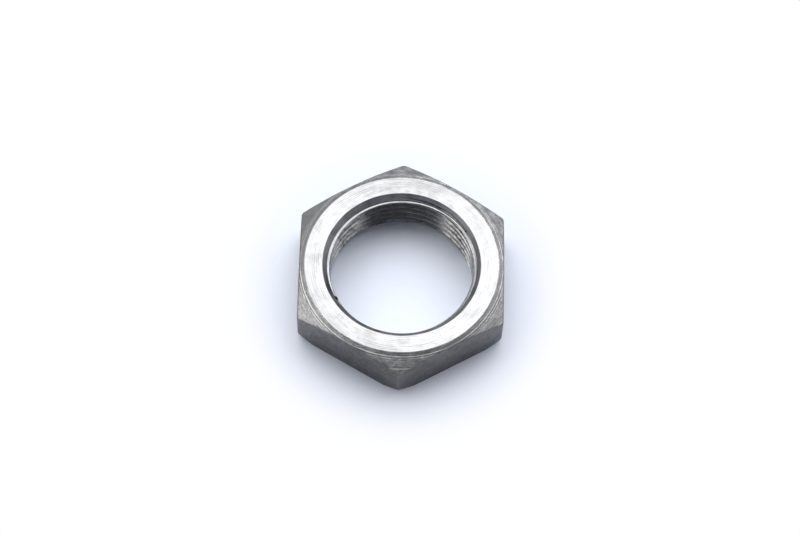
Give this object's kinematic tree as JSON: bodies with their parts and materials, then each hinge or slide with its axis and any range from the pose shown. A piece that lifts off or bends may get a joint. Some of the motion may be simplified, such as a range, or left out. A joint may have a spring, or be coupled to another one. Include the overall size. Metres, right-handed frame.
{
  "type": "hub nut",
  "caption": "Thin hexagon hub nut of bare turned steel: flat top ring, chamfered corners and a fine-pitch threaded bore that clamps a hub on its axle.",
  "frame": {"origin": "centre of the plain seat on the underside, on the thread's axis", "axes": "+Z along the thread's axis from the seat to the top ring, +Y towards a corner of the hexagon, +X square to a flat"},
  "size_m": [0.032, 0.037, 0.0082],
  "materials": {
    "turned_steel": "bare steel with fine turning marks"
  },
  "bodies": {
    "root": {"hub_nut": "turned_steel"}
  },
  "joints": []
}
